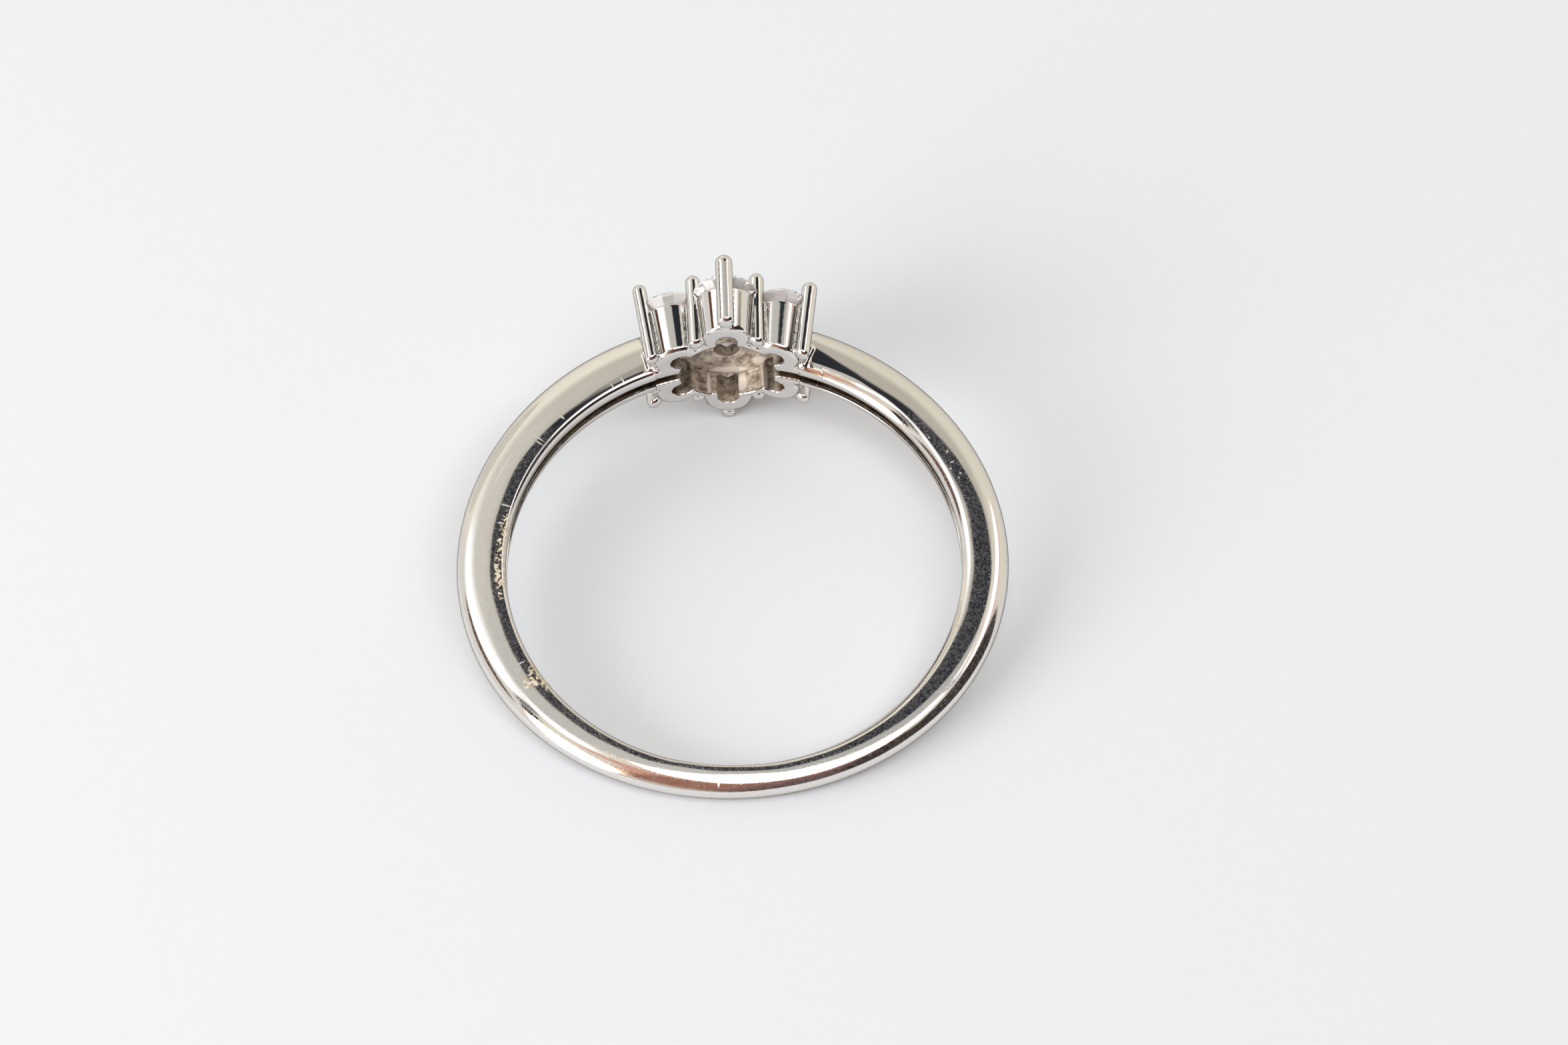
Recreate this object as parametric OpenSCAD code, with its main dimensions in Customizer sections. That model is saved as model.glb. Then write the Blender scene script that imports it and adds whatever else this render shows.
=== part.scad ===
// Seven stone cluster ring, lying on its side as it rests by itself.
// Every length is in millimetres and every angle in degrees.
// The ring is drawn upright to its own finger axis and is then laid down by the last module.

/* [Finger hole] */
// Diameter of the finger hole
finger_d = 17.3; // [15.5:0.1:20]
// Width of the bevel round both mouths of the finger hole
mouth_bevel = 0.16; // [0.1:0.01:0.2]

/* [Shank] */
// Radius of the shank's outer surface about its own centre
shank_outer_r = 10.36; // [10.3:0.01:10.45]
// How far that centre lies from the finger axis, toward the head
shank_shift = 0.47; // [0.4:0.01:0.52]
// Half the shank's width, midway between the head and the back
shank_half_w = 0.68; // [0.6:0.01:0.8]
// Angle at which each side leans, so that the shank widens toward the head
shank_side_lean = 0.36; // [0.2:0.02:0.6]
// Depth over which the outer surface rounds into the sides
shank_round_depth = 1.25; // [1:0.05:1.4]

/* [Inner channel] */
// Width of the channel at the finger hole
channel_w = 0.5; // [0.4:0.02:0.6]
// Depth of the channel under the head
channel_depth = 0.9; // [0.6:0.05:1]
// How far the channel's two ends lie past the middle of the finger hole, away from the head
channel_end = 0.6; // [0.4:0.1:1.2]

/* [Stones] */
// Diameter of each stone at its girdle
stone_d = 2.4; // [2.3:0.02:2.42]
// Distance of each petal stone's middle from the head's axis
petal_spacing = 2.46; // [2.46:0.01:2.52]
// Height of the girdles above the finger hole
girdle_height = 2.1; // [2:0.05:2.2]
// Clearance left round each stone
stone_gap = 0.03; // [0.02:0.005:0.04]

/* [Petals] */
// Distance of each petal's middle from the head's axis at the foot
petal_foot_spacing = 2.22; // [2.2:0.01:2.3]
// Radius of each petal at the foot
petal_foot_r = 0.9; // [0.85:0.01:0.95]
// Radius of each petal at its upper edge
petal_top_r = 1.08; // [1:0.01:1.12]
// Height of the petals' upper edge above the finger hole
petal_height = 1.82; // [1.7:0.02:1.9]

/* [Prongs] */
// Radius of the prongs
prong_r = 0.28; // [0.25:0.01:0.3]
// Distance of an outer prong from the head's axis at the foot
outer_foot = 3.38; // [3.3:0.01:3.42]
// Distance of an outer prong's tip from the head's axis
outer_tip = 3.82; // [3.78:0.01:3.9]
// Height of an outer prong's rounding above the finger hole
outer_height = 2.48; // [2.4:0.02:2.6]
// Distance of a shared prong from the head's axis at the foot
shared_foot = 2.13; // [2.1:0.01:2.2]
// Distance of a shared prong's tip from the head's axis
shared_tip = 2.46; // [2.4:0.01:2.5]
// Height of a shared prong's rounding above the finger hole
shared_height = 2.66; // [2.6:0.02:2.8]
// Radius of the short prongs round the centre stone
inner_prong_r = 0.22; // [0.2:0.01:0.24]

/* [Underside of the head] */
// Radius of the round recess
recess_r = 1.87; // [1.7:0.01:1.9]
// Depth of the recess above the finger hole
recess_depth = 0.95; // [0.7:0.05:1]
// Radius of the hole under each petal stone
petal_hole_r = 0.42; // [0.35:0.01:0.45]
// Radius of the hole under the centre stone
centre_hole_r = 0.5; // [0.35:0.01:0.6]

/* [Hidden] */
$fn = 48;
wide_fn = 96;
metal_colour = "#d9d7d2";
stone_colour = "#e9edf0";

finger_r = finger_d / 2;
stone_r = stone_d / 2;
petal_count = 6;
petal_step = 360 / petal_count;
first_petal = petal_step / 2;

// How far a body reaches past the face that trims it
overrun = 1;
big = 4 * finger_r;

// Shank profile: a blunt oval outside, straight beyond its round depth
round_steps = 12;
round_power = 2.5;
shank_inner_reach = finger_r - overrun;
function round_half(t) = shank_half_w * sqrt(1 - pow(t, round_power));
shank_side = [
    for (i = [0 : round_steps])
        let (t = cos(90 * i / round_steps))
        [shank_outer_r - shank_round_depth * (1 - t), round_half(t)]
];
shank_outline = concat(
    shank_side,
    [[shank_inner_reach, shank_half_w], [shank_inner_reach, -shank_half_w]],
    [for (i = [round_steps : -1 : 1]) [shank_side[i][0], -shank_side[i][1]]]
);

// The shank ends inside the head, at the wall of the recess
recess_wall = 0.11;
core_foot_r = recess_r + recess_wall;
head_clear_r = recess_r;
head_top = finger_r + outer_height;

// Channel: a ring whose centre is shifted until it leaves the wall at its two ends
channel_far = finger_r + channel_depth;
channel_shift = (pow(channel_far, 2) - pow(finger_r, 2)) / (2 * (channel_far + channel_end));
channel_ring_r = channel_far - channel_shift - channel_w / 2;

// A round brilliant's proportions, as shares of its diameter
table_share = 0.57;
crown_share = 0.15;
girdle_share = 0.03;
pavilion_share = 0.42;
star_share = 0.45;
lower_share = 0.78;
table_r = table_share * stone_r;
crown_h = crown_share * stone_d;
girdle_h = girdle_share * stone_d;
pavilion_h = pavilion_share * stone_d;
facet_count = 8;
facet_step = 360 / facet_count;

// Outward leans of the petals and of the two rings of prongs
petal_lean = atan((petal_spacing - petal_foot_spacing) / girdle_height);
outer_lean = atan((outer_tip - outer_foot) / outer_height);
shared_lean = atan((shared_tip - shared_foot) / shared_height);
petal_flare = (petal_top_r - petal_foot_r) / petal_height;
core_top_r = 1.7;
core_height = 1.6;
inner_prong_spacing = petal_spacing / sqrt(3);
inner_prong_rise = 0.5;
inner_prong_height = girdle_height + inner_prong_rise;

// Pose at rest: the ring touches the surface with its lowest outer prong and with the back of the shank
steepest_pitch = 30;
pitch_steps = 24;
function shank_back_reach(pitch) = max([
    for (p = shank_side)
        let (out = p[0] - shank_shift)
        let (back = out * cos(shank_side_lean) + p[1] * sin(shank_side_lean))
        let (side = p[1] * cos(shank_side_lean) - out * sin(shank_side_lean))
        side * cos(pitch) + back * sin(pitch)
]);
function prong_reach(pitch) = outer_tip * cos(pitch) - head_top * sin(pitch) + prong_r;
function rest_pitch(low, high, steps) =
    let (middle = (low + high) / 2)
    steps == 0 ? middle
    : prong_reach(middle) > shank_back_reach(middle) ? rest_pitch(middle, high, steps - 1)
    : rest_pitch(low, middle, steps - 1);
pitch = rest_pitch(0, steepest_pitch, pitch_steps);
rest_height = prong_reach(pitch);

// Middle of the ring's length as it lies, so that the origin is under the middle of its box
head_reach = head_top * cos(pitch) + outer_tip * sin(pitch) + prong_r;
back_reach = max([
    for (p = shank_side)
        let (out = p[0] - shank_shift)
        let (back = out * cos(shank_side_lean) - p[1] * sin(shank_side_lean))
        let (side = p[1] * cos(shank_side_lean) + out * sin(shank_side_lean))
        back * cos(pitch) + side * sin(pitch)
]);
rest_shift = (back_reach - head_reach) / 2;

// Lays the ring down on the surface
module laid_down() {
    translate([0, rest_shift, rest_height])
        rotate([pitch, 0, 0])
            children();
}

// Turns a body drawn upright so that it stands on the head's axis, its height measured from the finger axis
module on_head() {
    rotate([-90, 0, 0])
        children();
}

// Places a body at a petal, leaning with it, with its height measured from the finger hole
module at_petal(number) {
    rotate([0, 0, first_petal + petal_step * number])
        translate([petal_foot_spacing, 0, finger_r])
            rotate([0, petal_lean, 0])
                children();
}

module shank_half() {
    intersection() {
        rotate([shank_side_lean, 0, 0])
            translate([0, shank_shift, 0])
                rotate_extrude($fn = wide_fn)
                    polygon(shank_outline);
        translate([-big / 2, -big / 2, 0])
            cube([big, big, big]);
    }
}

module shank() {
    difference() {
        union() {
            shank_half();
            mirror([0, 0, 1])
                shank_half();
        }
        on_head()
            cylinder(h = big, r = head_clear_r);
    }
}

module petal_cup() {
    translate([0, 0, -overrun])
        cylinder(
            h = petal_height + overrun,
            r1 = petal_foot_r - petal_flare * overrun,
            r2 = petal_top_r
        );
}

module core() {
    translate([0, 0, finger_r - overrun])
        cylinder(h = core_height + overrun, r1 = core_foot_r, r2 = core_top_r);
}

module prong(foot, lean, height, radius) {
    length = height / cos(lean);
    translate([foot, 0, finger_r])
        rotate([0, lean, 0]) {
            translate([0, 0, -overrun])
                cylinder(h = length + overrun, r = radius);
            translate([0, 0, length])
                sphere(r = radius);
        }
}

module prongs() {
    for (i = [0 : petal_count - 1]) {
        rotate([0, 0, first_petal + petal_step * i])
            prong(outer_foot, outer_lean, outer_height, prong_r);
        rotate([0, 0, petal_step * i]) {
            prong(shared_foot, shared_lean, shared_height, prong_r);
            prong(inner_prong_spacing, 0, inner_prong_height, inner_prong_r);
        }
    }
}

module head() {
    for (i = [0 : petal_count - 1])
        at_petal(i)
            petal_cup();
    core();
    prongs();
}

// The room that one stone takes in the metal, with its clearance
module stone_room() {
    wide = stone_r + stone_gap;
    deep = pavilion_h * wide / stone_r;
    translate([0, 0, -deep])
        cylinder(h = deep, r1 = 0, r2 = wide);
    cylinder(h = girdle_h + stone_gap, r = wide);
    translate([0, 0, girdle_h + stone_gap])
        cylinder(h = crown_h, r1 = wide, r2 = table_r + stone_gap);
}

module seats() {
    for (i = [0 : petal_count - 1])
        at_petal(i)
            translate([0, 0, girdle_height / cos(petal_lean)])
                stone_room();
    translate([0, 0, finger_r + girdle_height])
        stone_room();
}

module underside() {
    translate([0, 0, finger_r - overrun]) {
        cylinder(h = recess_depth + overrun, r = recess_r);
        cylinder(h = girdle_height, r = centre_hole_r);
    }
    for (i = [0 : petal_count - 1])
        at_petal(i)
            translate([0, 0, -overrun])
                cylinder(h = girdle_height, r = petal_hole_r);
}

module finger_hole() {
    cylinder(h = big, r = finger_r, center = true, $fn = wide_fn);
}

// Widens both mouths of the hole in the shank; the side lean is small enough to leave out
module mouth_bevels() {
    reach = 2 * mouth_bevel;
    for (side = [0, 1])
        mirror([0, 0, side])
            translate([0, 0, shank_half_w - mouth_bevel])
                cylinder(h = reach, r1 = finger_r, r2 = finger_r + reach, $fn = wide_fn);
}

module channel() {
    translate([0, channel_shift, 0])
        rotate_extrude($fn = wide_fn) {
            translate([channel_ring_r, 0])
                circle(d = channel_w);
            translate([channel_ring_r - 2 * channel_shift, -channel_w / 2])
                square([2 * channel_shift, channel_w]);
        }
}

module shank_and_setting() {
    color(metal_colour)
        laid_down()
            difference() {
                union() {
                    difference() {
                        shank();
                        mouth_bevels();
                        channel();
                    }
                    on_head()
                        head();
                }
                finger_hole();
                on_head() {
                    underside();
                    seats();
                }
            }
}

// Corners of one ring of the stone's facets, at a height and turned by a share of a facet
function stone_ring(radius, height, count, turn) = [
    for (i = [0 : count - 1])
        let (angle = 360 * (i + turn) / count)
        [radius * cos(angle), radius * sin(angle), height]
];

// A round brilliant: table, stars, kites, upper girdle, girdle, lower girdle and pavilion facets
module brilliant() {
    n = facet_count;
    top = girdle_h + crown_h;
    star_r = stone_r * (1 - star_share) + table_r * star_share;
    star_z = girdle_h + crown_h * (stone_r - star_r * cos(facet_step / 2)) / (stone_r - table_r);
    lower_r = stone_r * (1 - lower_share) / cos(facet_step / 2);
    corners = concat(
        stone_ring(table_r, top, n, 0),
        stone_ring(star_r, star_z, n, 0.5),
        stone_ring(stone_r, girdle_h, 2 * n, 0),
        stone_ring(stone_r, 0, 2 * n, 0),
        stone_ring(lower_r, -pavilion_h * lower_share, n, 0.5),
        [[0, 0, -pavilion_h]]
    );
    star = n;
    upper = 2 * n;
    under = 4 * n;
    low = 6 * n;
    culet = 7 * n;
    facets = concat(
        [[for (i = [n - 1 : -1 : 0]) i]],
        [for (i = [0 : n - 1]) [i, (i + 1) % n, star + i]],
        [for (i = [0 : n - 1]) [i, star + i, upper + 2 * i]],
        [for (i = [0 : n - 1]) [i, upper + 2 * i, star + (i + n - 1) % n]],
        [for (i = [0 : n - 1]) [star + i, upper + 2 * i + 1, upper + 2 * i]],
        [for (i = [0 : n - 1]) [star + i, upper + (2 * i + 2) % (2 * n), upper + 2 * i + 1]],
        [for (i = [0 : 2 * n - 1])
            [upper + i, upper + (i + 1) % (2 * n), under + (i + 1) % (2 * n), under + i]],
        [for (i = [0 : n - 1]) [low + i, under + 2 * i, under + 2 * i + 1]],
        [for (i = [0 : n - 1]) [low + i, under + 2 * i + 1, under + (2 * i + 2) % (2 * n)]],
        [for (i = [0 : n - 1]) [culet, under + 2 * i, low + i]],
        [for (i = [0 : n - 1]) [culet, low + (i + n - 1) % n, under + 2 * i]]
    );
    polyhedron(points = corners, faces = facets);
}

module centre_stone() {
    color(stone_colour)
        laid_down()
            on_head()
                translate([0, 0, finger_r + girdle_height])
                    brilliant();
}

module petal_stone(number) {
    color(stone_colour)
        laid_down()
            on_head()
                at_petal(number - 1)
                    translate([0, 0, girdle_height / cos(petal_lean)])
                        brilliant();
}

shank_and_setting();
centre_stone();
petal_stone(1);  // petal_stone_1
petal_stone(2);  // petal_stone_2
petal_stone(3);  // petal_stone_3
petal_stone(4);  // petal_stone_4
petal_stone(5);  // petal_stone_5
petal_stone(6);  // petal_stone_6
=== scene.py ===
"""Seven stone cluster ring of rhodium-plated silver, lying on its side on pale paper."""
import math

import bpy
import numpy as np
from mathutils import Matrix, Vector


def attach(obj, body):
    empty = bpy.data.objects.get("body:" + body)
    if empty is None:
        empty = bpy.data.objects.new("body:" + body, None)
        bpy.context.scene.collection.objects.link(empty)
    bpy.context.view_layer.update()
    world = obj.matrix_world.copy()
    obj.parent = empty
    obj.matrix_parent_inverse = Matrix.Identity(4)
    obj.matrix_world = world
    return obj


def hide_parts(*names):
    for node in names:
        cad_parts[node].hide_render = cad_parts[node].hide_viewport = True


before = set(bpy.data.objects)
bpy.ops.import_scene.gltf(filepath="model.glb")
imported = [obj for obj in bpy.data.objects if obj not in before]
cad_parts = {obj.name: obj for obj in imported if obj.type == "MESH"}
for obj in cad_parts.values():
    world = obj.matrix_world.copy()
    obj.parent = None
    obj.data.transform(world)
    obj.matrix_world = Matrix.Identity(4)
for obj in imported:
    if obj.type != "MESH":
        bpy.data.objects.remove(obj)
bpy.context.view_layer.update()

MM = 0.001
PER_MM = 1 / MM
DEG = math.pi / 180

# The ring's own frame, in millimetres: X to the right, Y from the finger axis to the head, Z along the
# finger. It lies down by one turn about X, so that the lowest outer prong and the back of the shank touch
# the floor.
PITCH = 9.84079 * DEG
REST_SHIFT = -1.06921
REST_HEIGHT = 2.14156
HEAD_AXIS = (0, math.cos(PITCH), math.sin(PITCH))

FINGER_R = 8.65


def laid_down(points):
    """Ring frame in millimetres to the shared frame in metres: a turn about X, then lift and shift."""
    x, y, z = np.moveaxis(np.asarray(points, float), -1, 0)
    across = y * math.cos(PITCH) - z * math.sin(PITCH) + REST_SHIFT
    up = y * math.sin(PITCH) + z * math.cos(PITCH) + REST_HEIGHT
    return np.stack([x, across, up], -1) * MM


def make_piece(name, points, faces, marks):
    """One mesh object from points in the ring's frame and outward faces: quads are smooth, end caps flat.

    Its marks say how far each point lies in a groove or hollow that no polishing wheel reaches (recess), how
    far between two forms that stand close together (crevice), whether fingers rub it (worn), and whether a
    groove there is the narrow channel (channel)."""
    mesh = bpy.data.meshes.new(name)
    mesh.from_pydata(laid_down(points), [], faces)
    mesh.polygons.foreach_set("use_smooth", [len(face) == 4 for face in faces])
    for label, values in marks.items():
        mesh.attributes.new(label, "FLOAT", "POINT").data.foreach_set("value", values.astype(np.float32))
    mesh.update()
    piece = bpy.data.objects.new(name, mesh)
    bpy.context.scene.collection.objects.link(piece)
    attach(piece, "root")
    return piece


# Shank

# Thickness of the shank every 30 degrees round the finger, from 3 o'clock over the head at 90 degrees
THICKNESS = (1.85, 1.82, 2.04, 2.19, 2.06, 2.01, 1.88, 1.69, 1.36, 1.05, 1.30, 1.53)
KEPT_HARMONICS = 3
HALF_WIDTH = 0.68
SIDE_LEAN = 0.36 * DEG
CREST_LOW = 0.22
CREST_SIDES = 0.38
CREST_HEAD = 0.2
# Beside the head the sides were filed flat, more on the right than on the left
CREST_JOINT_RIGHT = 1.4
CREST_JOINT_LEFT = 0.4
CREST_JOINT_FULL = 0.9
CREST_JOINT_CURVE = 2.5
JOINT_FROM = math.sin(50 * DEG)
CROWN = 0.15
CROWN_ENDS = math.sin(62 * DEG)
CROWN_FADE = 0.25
# Unevenness of the hand polishing: waves round the finger, height in millimetres, degrees to one top
POLISHING_WAVES = ((5, 0.035, 12), (11, 0.02, 18), (23, 0.01, 28))
INNER_EDGE = 0.26
INNER_EDGE_SWING = 0.08
INNER_EDGE_SOFTEST = 30 * DEG
# The rounding widens toward the head on the right
INNER_EDGE_JOINT = 0.15
INNER_EDGE_JOINT_FROM = 0.5
INNER_EDGE_JOINT_FADE = 0.35
INNER_EDGE_SIDE_FADE = 4
INNER_EDGE_DROP = 0.97
INNER_EDGE_DROP_LEFT = 0.22
INNER_EDGE_DROP_RIGHT = 0.4
INNER_EDGE_ROOM = 0.04
# One gives an oval rounding, two a straight bevel
INNER_EDGE_BEVEL = 1.65
BEVEL_MIDDLE = 10 * DEG
BEVEL_SIDE_FADE = 2
BEVEL_ENDS = math.sin(75 * DEG)
BEVEL_FADE = 0.2
BEVEL_LEAST = 0.4
CHANNEL_HALF = 0.25
CHANNEL_FAR = 9.55
CHANNEL_END = 0.6
CHANNEL_SHIFT = (CHANNEL_FAR**2 - FINGER_R**2) / (2 * (CHANNEL_FAR + CHANNEL_END))
CHANNEL_R = CHANNEL_FAR - CHANNEL_SHIFT
# The polishing wheel reaches this far into a groove, and its work fades out over the next stretch
WHEEL_REACH = 0.05
RECESS_FADE = 0.05
# Points along each part of half the section
CHANNEL_POINTS = 7
WALL_POINTS = 7
BEND_POINTS = 15
LAND_POINTS = 5
SIDE_POINTS = 9
OVAL_POINTS = 31


def thickness(angle):
    """Sum of the first harmonics of the measured sizes, so that the outline has no kink."""
    wave = np.fft.rfft(THICKNESS) / len(THICKNESS)
    total = np.full(np.shape(angle), wave[0].real)
    for k in range(1, KEPT_HARMONICS + 1):
        total = total + 2 * (wave[k] * np.exp(1j * k * angle)).real
    return total


def half_width(angle, radius):
    """Half width at mid-height, widened toward the head by the lean of the sides."""
    return HALF_WIDTH + radius * np.sin(angle) * math.tan(SIDE_LEAN)


def crest(angle):
    """Radius of the widest line of the section: low at the back, farther out at the sides and the head."""
    toward_head = np.maximum(np.sin(angle), 0) ** 2
    even = FINGER_R + CREST_LOW + CREST_SIDES * np.cos(angle) ** 2 + CREST_HEAD * toward_head
    joint = np.where(np.cos(angle) > 0, CREST_JOINT_RIGHT, CREST_JOINT_LEFT)
    near = np.clip((np.sin(angle) - JOINT_FROM) / (1 - JOINT_FROM), 0, CREST_JOINT_FULL)
    even = even + joint * near ** CREST_JOINT_CURVE
    waves = sum(size * np.cos(count * (angle - at * DEG)) for count, size, at in POLISHING_WAVES)
    return even + waves


def crown(angle):
    """How strongly the side bulges, none where it was filed flat beside the head."""
    return CROWN * np.clip((CROWN_ENDS - np.sin(angle)) / CROWN_FADE, 0, 1)


def inner_rounding(angle):
    """Radial and axial reach of the rounded inner edge, which hand polishing left softer on one side."""
    radial = INNER_EDGE + INNER_EDGE_SWING * np.cos(angle - INNER_EDGE_SOFTEST)
    near = np.clip((np.sin(angle) - INNER_EDGE_JOINT_FROM) / INNER_EDGE_JOINT_FADE, 0, 1)
    widened = near * np.clip(np.cos(angle) * INNER_EDGE_SIDE_FADE, 0, 1)
    right, left = np.maximum(np.cos(angle), 0), np.maximum(-np.cos(angle), 0)
    drop = INNER_EDGE_DROP - INNER_EDGE_DROP_RIGHT * right + INNER_EDGE_DROP_LEFT * left
    reach = np.minimum(radial + INNER_EDGE_JOINT * widened, crest(angle) - FINGER_R - INNER_EDGE_ROOM)
    return reach, drop * np.minimum(radial, reach)


def inner_bevel(angle):
    """How straight the inner edge's section is: beveled at 3 o'clock and above it, round on the left."""
    side = np.clip(np.cos(angle - BEVEL_MIDDLE) * BEVEL_SIDE_FADE, 0, 1)
    share = side * np.clip((BEVEL_ENDS - np.sin(angle)) / BEVEL_FADE, BEVEL_LEAST, 1)
    return 1 + (INNER_EDGE_BEVEL - 1) * share


def channel_depth(angle):
    """Distance from the finger hole to a circle that is shifted toward the head."""
    reach = np.sqrt(CHANNEL_R**2 - (CHANNEL_SHIFT * np.cos(angle)) ** 2)
    return np.maximum(reach + CHANNEL_SHIFT * np.sin(angle) - FINGER_R, 0)


def shank_profile(angle):
    """Upper half of the section at each angle: channel, land, rounded edge, crowned side and outer oval."""
    depth = channel_depth(angle)[:, None]
    low = np.minimum(depth, CHANNEL_HALF)
    turn = np.linspace(0, 1, CHANNEL_POINTS)[None] * np.arccos(1 - low / CHANNEL_HALF)
    channel_r = FINGER_R + depth - CHANNEL_HALF * (1 - np.cos(turn))
    channel_z = CHANNEL_HALF * np.sin(turn)
    wall = 1 - (1 - np.linspace(0, 1, WALL_POINTS)[None, 1:]) ** 2
    wall_r = channel_r[:, -1:] * (1 - wall) + FINGER_R * wall
    wall_z = np.broadcast_to(channel_z[:, -1:], wall_r.shape)
    top = crest(angle)[:, None]
    reach, drop = (v[:, None] for v in inner_rounding(angle))
    width = half_width(angle, top[:, 0])[:, None]
    bend = np.linspace(0, math.pi / 2, BEND_POINTS)[None, 1:]
    power = inner_bevel(angle)[:, None]
    bend_r = FINGER_R + reach * (1 - np.maximum(np.cos(bend), 0) ** power)
    bulge = crown(angle)[:, None]
    bend_z = width - bulge * (top - bend_r) ** 2 - drop * (1 - np.sin(bend) ** power)
    edge = width - bulge * (top - FINGER_R) ** 2 - drop
    land = np.linspace(0, 1, LAND_POINTS)[None, 1:]
    land_z = wall_z[:, -1:] * (1 - land) + edge * land
    land_r = np.full(land_z.shape, FINGER_R)
    side = np.linspace(0, 1, SIDE_POINTS)[None, 1:]
    side_r = (FINGER_R + reach) * (1 - side) + top * side
    side_z = width - bulge * (top - side_r) ** 2
    outer = FINGER_R + thickness(angle)[:, None]
    sweep = np.linspace(0, math.pi / 2, OVAL_POINTS)[None, 1:]
    oval_r = top + (outer - top) * np.sin(sweep)
    oval_z = width * np.cos(sweep)
    radius = np.concatenate([channel_r, wall_r, land_r, bend_r, side_r, oval_r], 1)
    height = np.concatenate([channel_z, wall_z, land_z, bend_z, side_z, oval_z], 1)
    recess = np.clip((radius - FINGER_R - WHEEL_REACH) / RECESS_FADE, 0, 1)
    recess[:, channel_r.shape[1] + wall_r.shape[1]:] = 0
    return radius, height, recess


def tube_faces(rows, columns):
    """Quads of a surface that is closed along its columns and open along its rows."""
    i, j = np.meshgrid(np.arange(rows - 1), np.arange(columns), indexing="ij")
    after = (j + 1) % columns
    this, following = i * columns, (i + 1) * columns
    return np.stack([this + j, following + j, following + after, this + after], -1).reshape(-1, 4)


SHANK_STEPS = 480
SHANK_END_X = 2.75


def shank():
    """The section carried round the finger, from one side of the head to the other."""
    end = math.asin(SHANK_END_X / FINGER_R)
    angle = np.linspace(math.pi / 2 - end, -3 * math.pi / 2 + end, SHANK_STEPS)
    radius, height, recess = shank_profile(angle)
    full_r = np.concatenate([radius, radius[:, -2:0:-1]], 1)
    full_z = np.concatenate([height, -height[:, -2:0:-1]], 1)
    full_recess = np.concatenate([recess, recess[:, -2:0:-1]], 1)
    across, along = np.cos(angle)[:, None], np.sin(angle)[:, None]
    points = np.stack([full_r * across, full_r * along, full_z], -1)
    rows, columns = full_r.shape
    faces = tube_faces(rows, columns).tolist()
    faces.append(list(range(columns)))
    faces.append(list(range((rows - 1) * columns, rows * columns))[::-1])
    worn = np.broadcast_to(crown(angle)[:, None] / CROWN, full_r.shape)
    none = np.zeros(full_r.size)
    marks = {"recess": full_recess.ravel(), "crevice": none, "worn": worn.ravel(), "channel": none + 1}
    return make_piece("shank", points.reshape(-1, 3), faces, marks)


# Head: one cast form, drawn as a distance field and turned into a mesh

PETALS = 6
PETAL_STEP = 60 * DEG
FIRST_PETAL = 30 * DEG
FOOT_SPACING = 2.22
PETAL_SPACING = 2.46
GIRDLE = 2.1
PETAL_FOOT_R = 0.9
PETAL_TOP_R = 1.08
PETAL_HEIGHT = 1.82
STONE_R = 1.2
STONE_GAP = 0.03
PAVILION = 0.42 * 2 * STONE_R
CROWN_SLOPE = math.tan(36 * DEG)
TABLE_RISE = 0.4
RECESS_R = 1.87
RECESS_DEPTH = 0.95
HOLE_SPACING = 2.08
HOLE_LEAN = 0.22
PETAL_HOLE_R = 0.41
CENTRE_HOLE_R = 0.5
CORE_FOOT_R = 2.1
CORE_TOP_R = 2.02
CORE_HEIGHT = 1.6
PETAL_FILLET = 0.08
PRONG_FILLET = 0.09
SOLDER_FILLET = 0.16
SOLDER_SINK = 0.008
CUP_ROUNDING = 0.06
SEAT_ROUNDING = 0.02
RIM_BEVEL = 0.12
RIM_ROUNDING = 0.03
CENTRE_HOLE_FILLET = 0.05
PETAL_HOLE_FILLET = 0.03
HOLLOW_ROUNDING = 0.03
FINGER_ROUNDING = 0.02
STUB_FROM_X = 1.9
STUB_TO_X = 3.7
# The head's mesh: box round it, size of a cell, rounds that move its points onto the surface, least slope
HEAD_LOW = (-4.4, 7.4, -4.4)
HEAD_HIGH = (4.4, 11.8, 4.4)
CELL = 0.052
SURFACE_ROUNDS = 3
LEAST_SLOPE = 0.2
# A place lies in a crevice when other metal takes up the room above it: how far up this looks, the share of
# that way that may be taken before the mark begins, and the share over which it grows to full
CREVICE_LOOK = 0.2
CREVICE_FROM = 0.6
CREVICE_FADE = 1 / 3
HOLLOW_SKIN = 0.06
CHANNEL_BLEND = 0.2

# Prongs by plan angle, which is 90 degrees at the top of the ring as it lies:
# radius, distance from the head's axis at foot and tip, height of the tip's centre
OUTER_PRONGS = {
    150: (0.27, 3.38, 3.81, 2.56),
    90: (0.33, 3.40, 3.91, 2.48),
    30: (0.30, 3.38, 3.79, 2.39),
    330: (0.28, 3.38, 3.82, 2.48),
    270: (0.28, 3.38, 3.82, 2.48),
    210: (0.28, 3.38, 3.82, 2.48),
}
SHARED_PRONGS = {
    120: (0.29, 2.34, 2.46, 2.74),
    60: (0.29, 2.34, 2.46, 2.74),
    0: (0.28, 2.20, 2.46, 2.66),
    300: (0.28, 2.30, 2.46, 2.66),
    240: (0.28, 2.30, 2.46, 2.66),
    180: (0.28, 2.20, 2.46, 2.66),
}
INNER_PRONG_R = 0.22
INNER_PRONG_RISE = 0.5

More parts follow.
